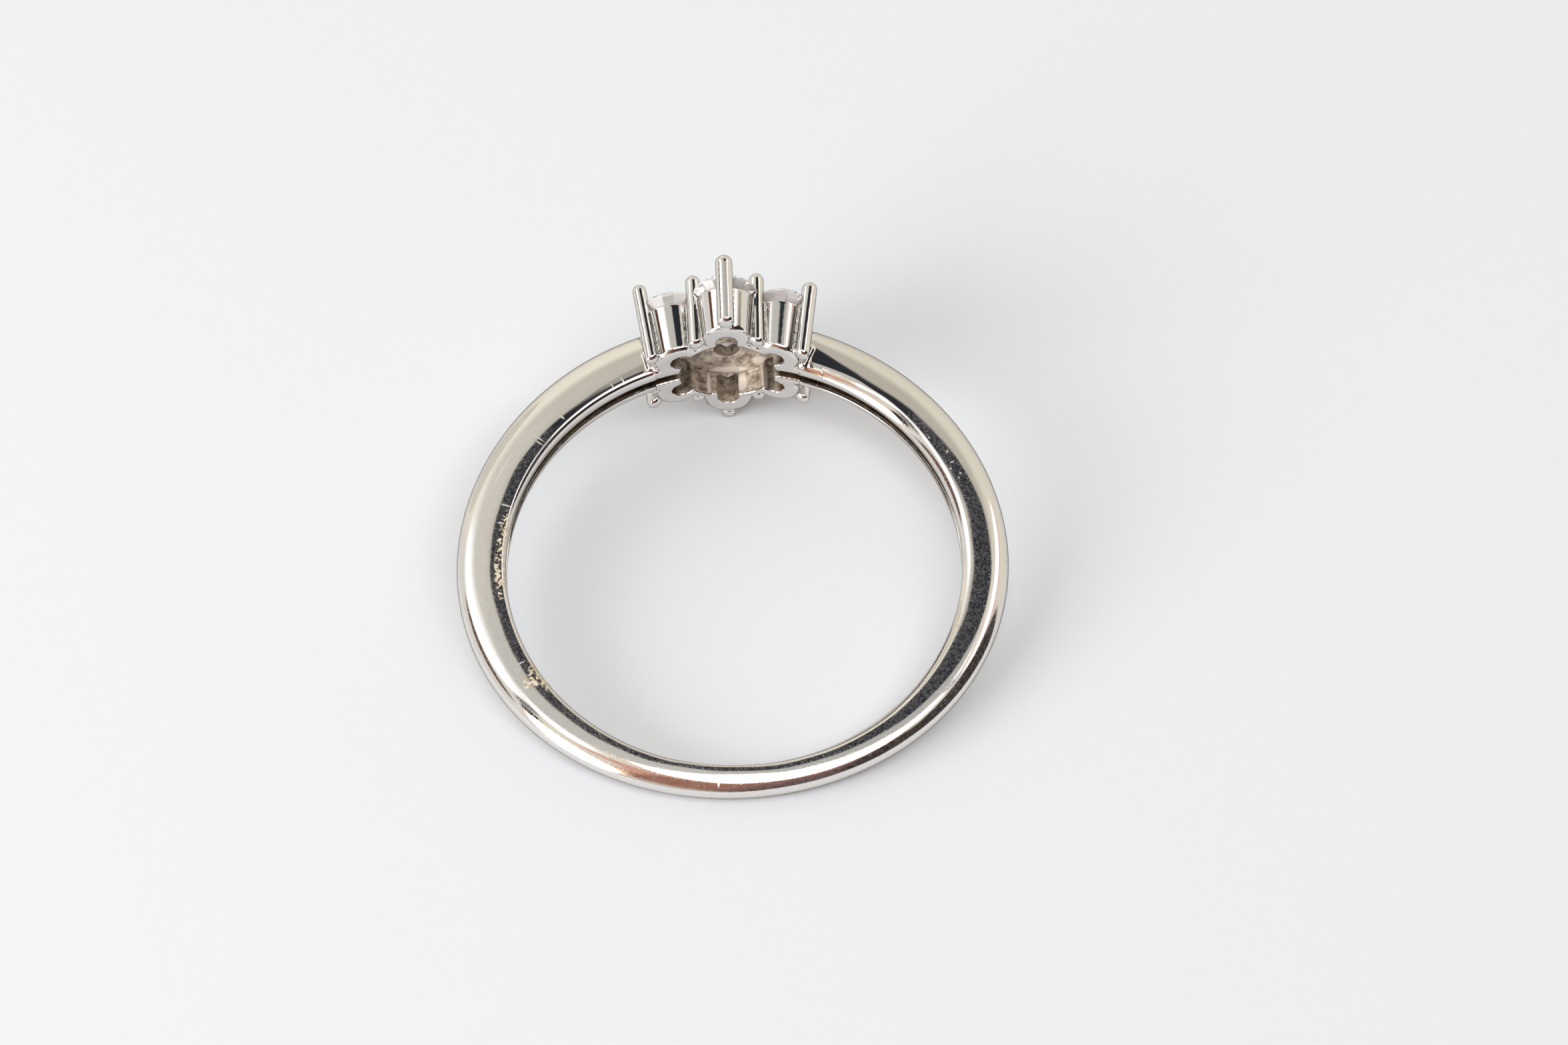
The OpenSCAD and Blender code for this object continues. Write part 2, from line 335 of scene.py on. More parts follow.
# Solder beside the head: two ends in the ring's frame, and the radius
SOLDER = (
    ((-3.16, 9.15, 0.66), (-2.98, 8.48, 0.68), 0.15),
    ((-2.76, 8.34, 0.6), (-2.72, 8.3, 0.56), 0.13),
    ((3.24, 9.1, 0.66), (2.95, 8.45, 0.64), 0.18),
    ((-2.84, 8.24, -0.68), (-2.8, 8.24, -0.68), 0.13),
    ((2.86, 8.34, -0.68), (2.84, 8.34, -0.68), 0.12),
)


def union(a, b, blend):
    """Smaller of two distances, with a fillet of about the blend where they meet."""
    near = np.maximum(blend - np.abs(a - b), 0) / blend
    return np.minimum(a, b) - near * near * blend / 4


def without(a, b, blend):
    """The first body less the second, with a rounded edge of about the blend."""
    return -union(-a, b, blend)


def axis_place(p, foot, tip, low, high, angle):
    """Distance along and from a line in the plane through the head's axis at a plan angle."""
    base = np.array([foot * math.cos(angle), FINGER_R + low, foot * math.sin(angle)])
    end = np.array([tip * math.cos(angle), FINGER_R + high, tip * math.sin(angle)])
    length = np.linalg.norm(end - base)
    line = (end - base) / length
    w = [p[k] - base[k] for k in range(3)]
    along = sum(w[k] * line[k] for k in range(3))
    away = np.sqrt(np.maximum(sum((w[k] - along * line[k]) ** 2 for k in range(3)), 1e-12))
    return along, away, length


def petal_cup(p, angle):
    """A cone frustum that flares upward, rounded at its upper edge."""
    along, away, _ = axis_place(p, FOOT_SPACING, PETAL_SPACING, 0, GIRDLE, angle)
    flare = (PETAL_TOP_R - PETAL_FOOT_R) / PETAL_HEIGHT
    side = (away - PETAL_FOOT_R - flare * along) / math.hypot(1, flare)
    return -union(-side, -(along - PETAL_HEIGHT), CUP_ROUNDING)


def round_prong(p, angle, radius, foot, tip, height):
    """A round wire with a ball tip, its lower end below the finger cylinder."""
    along, away, length = axis_place(p, foot, tip, 0, height, angle)
    over = np.maximum(along - length, 0)
    return np.sqrt(away * away + over * over) - radius


def solder_drop(p, first, last, radius):
    """A short round run of solder from one place to another."""
    line = np.array(last) - np.array(first)
    w = [p[k] - first[k] for k in range(3)]
    share = np.clip(sum(w[k] * line[k] for k in range(3)) / (line @ line), 0, 1)
    return np.sqrt(sum((w[k] - share * line[k]) ** 2 for k in range(3))) - radius


def bevelled(p, body):
    """The body cut off by the finger hole, with a bevel of 45 degrees along the new edge."""
    below = FINGER_R - np.hypot(p[0], p[1])
    bevel = (body + below + RIM_BEVEL) * math.sqrt(0.5)
    return without(np.maximum(body, below), -bevel, RIM_ROUNDING)


def stone_room(p, spacing, angle):
    """The stone and a thin gap round it: pavilion cone below the girdle, crown cone above, flat on top."""
    lean_foot = FOOT_SPACING if spacing else 0
    along, away, length = axis_place(p, lean_foot, spacing, 0, GIRDLE, angle)
    wide = STONE_R + STONE_GAP
    slope = PAVILION / STONE_R
    below = (away * slope - (along - length + slope * wide)) / math.hypot(1, slope)
    above = ((along - length) + (away - wide) * CROWN_SLOPE) / math.hypot(1, CROWN_SLOPE)
    sides = np.maximum(np.maximum(below, above), away - wide)
    return np.maximum(sides, along - length - TABLE_RISE)


def petal_hole(p, height, angle):
    """A round hole under a petal's stone, which runs inward as a slot as far up as the recess is deep."""
    x, _, z = p
    outward = x * math.cos(angle) + z * math.sin(angle)
    sideways = np.abs(z * math.cos(angle) - x * math.sin(angle))
    beyond = outward - HOLE_SPACING - HOLE_LEAN * height / GIRDLE
    slot = np.hypot(np.maximum(beyond, 0), sideways) - PETAL_HOLE_R
    slot = np.maximum(np.maximum(slot, height - RECESS_DEPTH), CENTRE_HOLE_R - outward)
    hole = np.maximum(np.hypot(beyond, sideways) - PETAL_HOLE_R, height - GIRDLE)
    return np.minimum(slot, hole)


def ellipse_distance(e, g, a, b):
    """About how far a place lies outside an ellipse with semi-axes a and b."""
    ratio = np.hypot(e / a, g / b)
    return (ratio - 1) * ratio / np.maximum(np.hypot(e / a**2, g / b**2), 1e-6)


def shank_stub(p):
    """Distance to the shank's ends as the head's mesh repeats them, a hair below the shank's own surface.

    They show between the petals, where the shank's mesh has ended, and carry the fillets of solder."""
    x, y, z = p
    radius = np.hypot(x, y)
    angle = np.arctan2(y, np.abs(x))
    angle = np.where(x < 0, math.pi - angle, angle)
    top = crest(angle)
    width = half_width(angle, top)
    reach, drop = inner_rounding(angle)
    outer = FINGER_R + thickness(angle)
    side = np.abs(z)
    oval = ellipse_distance(radius - top, side, outer - top, width)
    flat = side - width + crown(angle) * (top - radius) ** 2
    corner_r = radius - FINGER_R - reach
    corner_z = flat + drop
    corner = ellipse_distance(np.minimum(corner_r, 0), np.maximum(corner_z, 0), reach, drop)
    inner = np.where(corner_z > 0, corner, FINGER_R - radius)
    body = np.where(corner_r < 0, inner, flat)
    body = np.where(radius > top, oval, body) + SOLDER_SINK
    ends = np.maximum(STUB_FROM_X - np.abs(x), np.abs(x) - STUB_TO_X)
    return np.maximum(body, ends)


def channel_cut(p):
    """The shank's inner channel where it runs through the head's rim into the recess."""
    x, y, z = p
    angle = np.arctan2(y, np.abs(x))
    depth = channel_depth(angle)
    bottom = np.hypot(x, y) - FINGER_R - depth
    return np.maximum(np.maximum(np.abs(z) - CHANNEL_HALF, bottom), RECESS_R / 2 - np.abs(x))


def hollows(p):
    """Distance to the room under the head: the recess, the holes under the stones and the channel's ends."""
    x, y, z = p
    height = y - FINGER_R
    flat = np.hypot(x, z)
    recess = np.maximum(flat - RECESS_R, height - RECESS_DEPTH)
    centre = np.maximum(flat - CENTRE_HOLE_R, height - GIRDLE)
    under = union(recess, centre, CENTRE_HOLE_FILLET)
    for k in range(PETALS):
        under = union(under, petal_hole(p, height, FIRST_PETAL + k * PETAL_STEP), PETAL_HOLE_FILLET)
    return np.minimum(under, channel_cut(p))


def head_field(p):
    """Distance to the head's metal, in millimetres, from three arrays of places in the ring's frame."""
    x, y, z = p
    height = y - FINGER_R
    core_r = CORE_FOOT_R + (CORE_TOP_R - CORE_FOOT_R) * height / CORE_HEIGHT
    body = np.maximum(np.hypot(x, z) - core_r, height - CORE_HEIGHT)
    for k in range(PETALS):
        body = union(body, petal_cup(p, FIRST_PETAL + k * PETAL_STEP), PETAL_FILLET)
    for angle, (radius, foot, tip, tall) in SHARED_PRONGS.items():
        body = union(body, round_prong(p, angle * DEG, radius, foot, tip, tall), PRONG_FILLET)
    inner = PETAL_SPACING / math.sqrt(3)
    for k in range(PETALS):
        wire = round_prong(p, k * PETAL_STEP, INNER_PRONG_R, inner, inner, GIRDLE + INNER_PRONG_RISE)
        body = union(body, wire, PRONG_FILLET)
    for angle, (radius, foot, tip, tall) in OUTER_PRONGS.items():
        body = union(body, round_prong(p, angle * DEG, radius, foot, tip, tall), PRONG_FILLET)
    body = union(bevelled(p, body), shank_stub(p), SOLDER_FILLET)
    for first, last, radius in SOLDER:
        body = union(body, solder_drop(p, first, last, radius), SOLDER_FILLET / 2)
    for k in range(PETALS):
        body = without(body, stone_room(p, PETAL_SPACING, FIRST_PETAL + k * PETAL_STEP), SEAT_ROUNDING)
    body = without(body, stone_room(p, 0, 0), SEAT_ROUNDING)
    body = without(body, hollows(p), HOLLOW_ROUNDING)
    return without(body, np.hypot(x, y) - FINGER_R, FINGER_ROUNDING)


def surface_net(field, low, high, step):
    """Quads where a field changes sign: one point in each crossed cell, moved onto the surface."""
    size = [int(math.ceil((b - a) / step)) + 1 for a, b in zip(low, high)]
    axes = [a + step * np.arange(n) for a, n in zip(low, size)]
    grid = np.meshgrid(*axes, indexing="ij", sparse=True)
    value = field(grid)
    inside = value < 0
    total = np.zeros([n - 1 for n in size] + [3])
    count = np.zeros([n - 1 for n in size], np.int32)
    corner = [slice(0, -1), slice(1, None)]
    for axis in range(3):
        for i in (0, 1):
            for j in (0, 1):
                first = [corner[i], corner[j]]
                second = [corner[i], corner[j]]
                first.insert(axis, corner[0])
                second.insert(axis, corner[1])
                a, b = value[tuple(first)], value[tuple(second)]
                crossed = (a < 0) != (b < 0)
                share = np.where(crossed, a / np.where(crossed, a - b, 1), 0)
                at = [i, j]
                at.insert(axis, 0)
                for k in range(3):
                    place = share if k == axis else at[k]
                    total[..., k] += np.where(crossed, place, 0)
                count += crossed
    used = count > 0
    index = np.full(used.shape, -1)
    index[used] = np.arange(used.sum())
    cells = np.argwhere(used)
    points = np.array(low) + step * (cells + total[used] / count[used][:, None])
    faces = []
    for axis in range(3):
        others = [k for k in range(3) if k != axis]
        first = [slice(1, -1)] * 3
        second = [slice(1, -1)] * 3
        first[axis] = slice(0, -1)
        second[axis] = slice(1, None)
        a, b = inside[tuple(first)], inside[tuple(second)]
        crossing = np.argwhere(a != b)
        start = crossing + 1
        start[:, axis] -= 1
        leaves = a[tuple(crossing.T)]
        quad = []
        for di, dj in ((1, 1), (0, 1), (0, 0), (1, 0)):
            cell = start.copy()
            cell[:, others[0]] -= di
            cell[:, others[1]] -= dj
            quad.append(index[tuple(cell.T)])
        quad = np.stack(quad, 1)
        turn = leaves if axis != 1 else ~leaves
        quad[~turn] = quad[~turn][:, ::-1]
        faces.append(quad)
    faces = np.concatenate(faces)
    for _ in range(SURFACE_ROUNDS):
        level, slope = field_slope(field, points)
        points = points - np.clip(level, -step, step)[:, None] * slope
    return points, faces


def field_slope(field, points, reach=0.004):
    """Value of the field at some points and the unit vector along which it grows."""
    columns = list(points.T)
    slope = []
    for k in range(3):
        ahead, behind = list(columns), list(columns)
        ahead[k] = columns[k] + reach
        behind[k] = columns[k] - reach
        slope.append(field(ahead) - field(behind))
    slope = np.stack(slope, 1) / (2 * reach)
    length = np.maximum(np.linalg.norm(slope, axis=1), LEAST_SLOPE)
    return field(columns) / length, slope / length[:, None]


def gallery():
    """The head's mesh; its hollows are marked so that they keep their casting skin and dirt, and get painted
    shade and patches of painted light.
    """
    points, faces = surface_net(head_field, HEAD_LOW, HEAD_HIGH, CELL)
    depth = np.hypot(points[:, 0], points[:, 1]) - FINGER_R
    inside = np.clip(1 - hollows(points.T) / HOLLOW_SKIN, 0, 1)
    recess = inside * np.clip((depth - WHEEL_REACH) / RECESS_FADE, 0, 1)
    slope = field_slope(head_field, points)[1]
    above = head_field(list((points + CREVICE_LOOK * slope).T))
    taken = (CREVICE_LOOK - above) / CREVICE_LOOK
    crevice = np.clip((taken - CREVICE_FROM) / CREVICE_FADE, 0, 1)
    channel = np.clip((np.abs(points[:, 0]) - RECESS_R) / CHANNEL_BLEND, 0, 1)
    marks = {"recess": recess, "crevice": crevice, "worn": np.zeros(len(points)), "channel": channel}
    return make_piece("gallery", points, faces.tolist(), marks)


# Looks


def linear(code):
    """A colour written in sRGB hex, as the linear values that a shader takes."""
    parts = np.array([int(code[k:k + 2], 16) for k in (1, 3, 5)]) / 255
    low = parts / 12.92
    high = ((parts + 0.055) / 1.055) ** 2.4
    return (*np.where(parts <= 0.04045, low, high), 1.0)


def new_material(name):
    """An empty material and the tree that takes its nodes."""
    material = bpy.data.materials.new(name)
    material.use_nodes = True
    material.node_tree.nodes.clear()
    return material, material.node_tree


def add(tree, kind, inputs=None, **settings):
    """Adds one node with its settings; each input, by name or number, is a socket to link or a value."""
    node = tree.nodes.new(kind)
    for key, value in settings.items():
        setattr(node, key, value)
    for key, value in (inputs or {}).items():
        if isinstance(value, bpy.types.NodeSocket):
            tree.links.new(value, node.inputs[key])
        else:
            node.inputs[key].default_value = value
    return node


def compute(tree, operation, first, second, **settings):
    """One step of arithmetic on two numbers, each a socket or a value."""
    return add(tree, "ShaderNodeMath", {0: first, 1: second}, operation=operation, **settings).outputs[0]


def compute_vector(tree, operation, *parts):
    """One step of arithmetic on vectors, which gives a vector, or a number for a length or a dot product."""
    node = add(tree, "ShaderNodeVectorMath", dict(enumerate(parts)), operation=operation)
    return node.outputs["Value" if operation in ("LENGTH", "DOT_PRODUCT") else "Vector"]


def carried(tree, value, low, high, to_low=0.0, to_high=1.0, curve="LINEAR"):
    """A value carried from the range between two limits to that between two others, and clamped there."""
    limits = {"Value": value, "From Min": low, "From Max": high, "To Min": to_low, "To Max": to_high}
    return add(tree, "ShaderNodeMapRange", limits, interpolation_type=curve).outputs[0]


def noise(tree, place, size, detail, roughness=0.5):
    """Noise whose largest lumps have about that size, in the units of the place."""
    inputs = {"Vector": place, "Scale": 1 / size, "Detail": detail, "Roughness": roughness}
    return add(tree, "ShaderNodeTexNoise", inputs).outputs["Fac"]


def mixed(tree, share, first, second, **settings):
    """A colour between two others."""
    inputs = {0: share, 6: first, 7: second}
    return add(tree, "ShaderNodeMix", inputs, data_type="RGBA", **settings).outputs[2]


def graded(tree, value, stops):
    """The colour that a value has on a ramp of stops, each a place from zero to one and a hex colour."""
    node = add(tree, "ShaderNodeValToRGB", {"Fac": value})
    elements = node.color_ramp.elements
    for element, (place, code) in zip(elements, (stops[0], stops[-1])):
        element.position = place
        element.color = linear(code)
    for place, code in stops[1:-1]:
        elements.new(place).color = linear(code)
    return node.outputs[0]


def from_middle(tree, place, middle, reach):
    """Distance of a place from the middle of an oval, which is one on its edge."""
    off = compute_vector(tree, "SUBTRACT", place, middle)
    share = compute_vector(tree, "DIVIDE", off, reach)
    return compute_vector(tree, "LENGTH", share)


# Patches of painted light in the recess, near white, where light falls on it and where the stone shows
# through the top hole: middle and reach in the ring's frame, in millimetres
PAINTED_LIGHT_PATCHES = (
    ((0.1, 9.6, -1.5), (0.75, 0.5, 0.22)),
    ((1.25, 9.6, -0.85), (0.28, 0.5, 0.3)),
    ((0.55, 9.15, -1.8), (0.2, 0.4, 0.3)),
    ((1.45, 9.0, -1.3), (0.12, 0.5, 0.14)),
    ((-0.75, 9.1, -1.75), (0.08, 0.5, 0.2)),
    ((0.0, 9.35, 1.85), (0.3, 0.12, 0.3)),
)
# Marks on the upper side of the shank: angle round the finger in degrees from 3 o'clock, distance from the
# finger's axis in millimetres, reach along the band and across it
BAND_R = 9.6
MARK_HEIGHT = 0.6
MARK_DEPTH = 0.5
# A mark is full inside the first share of its reach and gone beyond the second
MARK_FULL = 0.6
MARK_GONE = 1.4
GRIME = (
    (172, 8.86, 1.3, 0.2),
    (181, 8.87, 1.4, 0.22),
    (187, 8.9, 0.5, 0.12),
    (212.5, 8.8, 0.75, 0.26),
    (212.5, 9.1, 0.36, 0.4),
    (339, 8.86, 0.16, 0.08),
)
SCRATCHES = (
    (143, 9.3, 0.035, 0.4),
    (144, 9.05, 0.03, 0.2),
    (135, 9.12, 0.05, 0.18),
    (163, 8.98, 0.04, 0.24),
    (155, 9.72, 0.7, 0.025),
    (152, 9.66, 0.4, 0.02),
    (168, 9.0, 0.05, 0.14),
    (117, 8.95, 0.04, 0.2),
    (120, 8.95, 0.03, 0.16),
    (207, 9.1, 0.03, 0.2),
    (264.8, 9.34, 0.05, 0.26),
    (27.5, 9.36, 0.05, 0.06),
    (24.5, 9.3, 0.03, 0.1),
    (21, 9.38, 0.05, 0.04),
    (20, 9.24, 0.04, 0.04),
    (23, 9.12, 0.04, 0.05),
    (33, 9.1, 0.06, 0.03),
)


def ring_place(tree):
    """Object coordinates turned back into the ring's own frame, in millimetres."""
    place = add(tree, "ShaderNodeTexCoord").outputs["Object"]
    back_y = -REST_SHIFT * math.cos(PITCH) - REST_HEIGHT * math.sin(PITCH)
    back_z = REST_SHIFT * math.sin(PITCH) - REST_HEIGHT * math.cos(PITCH)
    return add(tree, "ShaderNodeMapping", {
        "Vector": place,
        "Location": (0, back_y, back_z),
        "Rotation": (-PITCH, 0, 0),
        "Scale": (PER_MM,) * 3,
    }).outputs[0]


def band_place(tree, ring):
    """Way round the finger from the back of the shank, distance from its axis and height, in millimetres."""
    split = add(tree, "ShaderNodeSeparateXYZ", {0: ring}).outputs
    backward = compute(tree, "MULTIPLY", split["Y"], -1.0)
    turn = compute(tree, "ARCTAN2", split["X"], backward)
    way = compute(tree, "MULTIPLY", turn, BAND_R)
    flat = add(tree, "ShaderNodeCombineXYZ", {"X": split["X"], "Y": split["Y"]}).outputs[0]
    away = compute_vector(tree, "LENGTH", flat)
    return add(tree, "ShaderNodeCombineXYZ", {"X": way, "Y": away, "Z": split["Z"]}).outputs[0]


def on_band(marks):
    """Middle and reach of each mark in the coordinates of the band."""
    ovals = []
    for angle, radius, along, across in marks:
        way = ((angle + 270) % 360 - 180) * DEG * BAND_R
        ovals.append(((way, radius, MARK_HEIGHT), (along, across, MARK_DEPTH)))
    return ovals


def marked(tree, place, ovals):
    """One inside the nearest of some soft ovals, zero away from them all."""
    outside = 1.0
    for middle, reach in ovals:
        length = from_middle(tree, place, middle, reach)
        beyond = carried(tree, length, MARK_FULL, MARK_GONE, curve="SMOOTHSTEP")
        outside = compute(tree, "MINIMUM", outside, beyond)
    return compute(tree, "SUBTRACT", 1.0, outside)


# Colours, on ramps of noise or plain
BARE_METAL = "#e7e5e2"
METAL_EDGE = "#9a9286"
# Ramp of the film in the hollows, darker than the bare metal: part of this darkness is painted shade
FILM_AND_PAINTED_SHADE = ((0.36, "#82746a"), (0.62, "#e6dccb"))
# Painted shade: dark brown that deepens the colour in the narrow channel
CHANNEL_PAINTED_SHADE = "#86725f"
# Painted light: near-white colour of the lit patches in the recess
PAINTED_LIGHT_WHITE = "#fffaf0"
DIRT = ((0.5, "#c9a86c"), (0.6, "#f7f1e2"))
# Painted light on the stones: random shades from grey to white stand in for the facets' reflections, and the
# pale colour of matt facets for light shining through
STONE_PAINTED_LIGHT = ((0.0, "#c0c0be"), (0.35, "#f2f1ee"), (1.0, "#ffffff"))
PAPER_WHITE = "#dadee2"
# Size of the largest lumps of each pattern, in millimetres
FILM_AND_SHADE_PATCH = 0.35
FLAKE = 0.14
SPECK = 0.05
SCRATCH_PATCH = 0.12
POLISHING_WAVE = 1.6
CAST_GRAIN = 0.16
FIBRE = 0.35
# Changes of the hairlines to a millimetre: round the finger, away from its axis and along it
HAIRLINES = (9.0, 0.5, 0.5)
# Roughness of polished metal, and of the specks in which fine scratches scatter the light
POLISHED = 0.05
SPECKLED = 0.3
# Height of each relief, in millimetres
WAVE_HEIGHT = 0.004
HAIR_HEIGHT = 0.00025
CAST_HEIGHT = 0.02
FIBRE_HEIGHT = 0.02
# Most of the light that the veil of fine scratches and the film in the hollows send every way
VEIL = 0.09
FILM_COVER = 0.3
# Outward facets of a stone whose direction has less than this along the head's axis are shown mostly matt
# and pale, as painted light that stands in for the light shining through the stone
LOWER_FACETS = 0.3
MATT_CLEARNESS = 0.35
STONE_IOR = 2.16


def polished_silver():
    """Rhodium plated silver: a hard, slightly grey mirror that polishing by hand and wear left a bit uneven.

    The eye sees a faint haze of tiny scratches, hairlines across the band, brown films in the hollows,
    darkened further by painted shade that is deepest in the channel, patches of painted light in the recess,
    cast skin in the crevices, and grime and scuffs on the left of the shank."""
    material, tree = new_material("rhodium plated silver")
    ring = ring_place(tree)
    band = band_place(tree, ring)
    recess, crevice, worn, channel = (
        add(tree, "ShaderNodeAttribute", attribute_name=name).outputs["Fac"]
        for name in ("recess", "crevice", "worn", "channel")
    )

    # Film left in the hollows, in patches and finer grains; its dark tones are partly painted shade, deepest
    # in the channel, and near-white patches of painted light lie over it
    film_shade_and_light = graded(tree, noise(tree, ring, FILM_AND_SHADE_PATCH, 6.0, 0.65), FILM_AND_PAINTED_SHADE)
    # Painted shade: the channel is darkened further
    film_shade_and_light = mixed(tree, channel, film_shade_and_light, linear(CHANNEL_PAINTED_SHADE), blend_type="MULTIPLY")
    # Painted light: near-white patches laid over the film in the recess
    film_shade_and_light = mixed(tree, marked(tree, ring, PAINTED_LIGHT_PATCHES), film_shade_and_light, linear(PAINTED_LIGHT_WHITE))
    filmed_and_painted = mixed(tree, recess, linear(BARE_METAL), film_shade_and_light)

    # Grime: flakes of about a tenth of a millimetre, ochre where thin and cream where thick
    flakes = noise(tree, ring, FLAKE, 3.0)
    broken = carried(tree, flakes, 0.44, 0.56)
    dirty = compute(tree, "MULTIPLY", marked(tree, band, on_band(GRIME)), broken)
    colour = mixed(tree, dirty, filmed_and_painted, graded(tree, flakes, DIRT))

    # Haze on the shank: specks where fine scratches scatter the light
    specks = compute(tree, "MULTIPLY", noise(tree, ring, SPECK, 2.0), worn)
    rough = carried(tree, specks, 0.53, 0.75, POLISHED, SPECKLED)
    scratched = marked(tree, band, on_band(SCRATCHES))
    for share, most in ((recess, 0.45), (crevice, 0.25), (dirty, 0.6), (scratched, 0.5)):
        rough = compute(tree, "MAXIMUM", rough, compute(tree, "MULTIPLY", share, most))

    # Relief: slow waves of the polishing, hairlines across the band, cast skin where no wheel reached
    slow = noise(tree, ring, POLISHING_WAVE, 1.0)
    hairs = noise(tree, compute_vector(tree, "MULTIPLY", band, HAIRLINES), 1.0, 3.0)
    skin = noise(tree, ring, CAST_GRAIN, 3.0)
    reliefs = (
        (slow, WAVE_HEIGHT, 1.0),
        (hairs, HAIR_HEIGHT, worn),
        (skin, CAST_HEIGHT, crevice),
        (skin, CAST_HEIGHT, recess),
    )
    height = 0.0
    for wave, most, share in reliefs:
        scaled = compute(tree, "MULTIPLY", compute(tree, "MULTIPLY", wave, most), share)
        height = compute(tree, "ADD", height, scaled)
    relief = add(tree, "ShaderNodeBump", {"Height": height, "Strength": 1.0, "Distance": MM}).outputs[0]

    # Veil on the shank: fine scratches in patches of a tenth of a millimetre send a little light every way
    rubbed = compute(tree, "MULTIPLY", noise(tree, ring, SCRATCH_PATCH, 4.0, 0.7), worn)
    veil = carried(tree, rubbed, 0.42, 0.68, 0.0, VEIL)
    bare = carried(tree, recess, 0.0, 1.0, 1.0, 1 - FILM_COVER)
    shader = add(tree, "ShaderNodeBsdfPrincipled", {
        "Base Color": colour,
        "Metallic": compute(tree, "SUBTRACT", bare, veil),
        "Roughness": rough,
        "Specular Tint": linear(METAL_EDGE),
        "Normal": relief,
    })
    add(tree, "ShaderNodeOutputMaterial", {"Surface": shader.outputs[0]})
    return material


def zirconia():
    """Cubic zirconia, brilliant cut: clear, with facets that each throw back a different part of the light,
    and a painted reflection on each: a random shade from grey to white.

    Seen from outside, the girdle and the facets below it are shown mostly matt and pale, as they look in the
    photograph, where fully clear ones would show the dark of the room: the pale colour is painted light,
    standing in for the light that shines through the stone."""
    material, tree = new_material("cubic zirconia")
    surface = add(tree, "ShaderNodeNewGeometry").outputs
    facet = surface["True Normal"]
    upward = compute_vector(tree, "DOT_PRODUCT", facet, HEAD_AXIS)
    lower = compute(tree, "LESS_THAN", upward, LOWER_FACETS)
    matt = compute(tree, "SUBTRACT", lower, surface["Backfacing"], use_clamp=True)
    # Painted reflection: each facet gets a random shade between grey and white
    chance = add(tree, "ShaderNodeTexWhiteNoise", {"Vector": facet}).outputs["Value"]
    shader = add(tree, "ShaderNodeBsdfPrincipled", {
        "Base Color": graded(tree, chance, STONE_PAINTED_LIGHT),
        "Metallic": 0.0,
        "Roughness": 0.0,
        "IOR": STONE_IOR,
        "Transmission Weight": carried(tree, matt, 0.0, 1.0, 1.0, MATT_CLEARNESS),
    })
    add(tree, "ShaderNodeOutputMaterial", {"Surface": shader.outputs[0]})
    return material


def paper():
    """Smooth white paper: matt, with a faint mottling of its fibres."""
    material, tree = new_material("white paper")
    place = add(tree, "ShaderNodeTexCoord").outputs["Object"]
    bump = add(tree, "ShaderNodeBump", {
        "Height": noise(tree, place, FIBRE * MM, 3.0),
        "Strength": 0.15,
        "Distance": FIBRE_HEIGHT * MM,
    })
    shader = add(tree, "ShaderNodeBsdfPrincipled", {
        "Base Color": linear(PAPER_WHITE),
        "Roughness": 0.9,
        "Normal": bump.outputs[0],
    })
    add(tree, "ShaderNodeOutputMaterial", {"Surface": shader.outputs[0]})
    return material


band = shank()
head = gallery()
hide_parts("shank_and_setting")
silver = polished_silver()
band.data.materials.append(silver)
head.data.materials.append(silver)
stone = zirconia()
for node_name, node_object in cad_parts.items():
    node_object.data.materials.clear()
    node_object.data.materials.append(stone if "stone" in node_name else silver)

FLOOR_HALF = 0.5

floor_mesh = bpy.data.meshes.new("floor")
corners = [(FLOOR_HALF * x, FLOOR_HALF * y, 0) for x, y in ((-1, -1), (1, -1), (1, 1), (-1, 1))]
floor_mesh.from_pydata(corners, [], [(0, 1, 2, 3)])
floor = bpy.data.objects.new("floor", floor_mesh)
floor.data.materials.append(paper())
bpy.context.scene.collection.objects.link(floor)

# Camera: found from the finger hole's two edges and the prongs, in the ring's frame
LENS_PIXELS = 7656.85
PHOTO_WIDTH = 2352
SENSOR_WIDTH = 36
CLIP_START = 0.01
CLIP_END = 10
CAMERA_DISTANCE = 193.895
CAMERA_TURN = -1.1355 * DEG
CAMERA_RISE = 61.0841 * DEG
CAMERA_ROLL = -0.9917 * DEG
CAMERA_OFF_X = 1.8916
CAMERA_OFF_Y = 1.6839


def add_camera():
    """The camera, turned and placed in the ring's frame and then laid down with it."""
    back = np.array([
        math.sin(CAMERA_TURN) * math.cos(CAMERA_RISE),
        -math.cos(CAMERA_TURN) * math.cos(CAMERA_RISE),
        math.sin(CAMERA_RISE),
    ])
    level = np.array([math.cos(CAMERA_TURN), math.sin(CAMERA_TURN), 0])
    rise = np.cross(back, level)
    right = math.cos(CAMERA_ROLL) * level + math.sin(CAMERA_ROLL) * rise
    up = -math.sin(CAMERA_ROLL) * level + math.cos(CAMERA_ROLL) * rise
    place = CAMERA_OFF_X * right + CAMERA_OFF_Y * up + CAMERA_DISTANCE * back
    origin = laid_down([0, 0, 0])
    columns = [(laid_down(v) - origin) / MM for v in (right, up, back)]
    matrix = np.eye(4)
    matrix[:3, :3] = np.stack(columns, 1)
    matrix[:3, 3] = laid_down(place)
    camera_data = bpy.data.cameras.new("camera")
    camera_data.sensor_width = SENSOR_WIDTH
    camera_data.lens = LENS_PIXELS / PHOTO_WIDTH * SENSOR_WIDTH
    camera_data.clip_start = CLIP_START
    camera_data.clip_end = CLIP_END
    camera = bpy.data.objects.new("camera", camera_data)
    camera.matrix_world = Matrix(matrix.tolist())
    bpy.context.scene.collection.objects.link(camera)
    bpy.context.scene.camera = camera


add_camera()

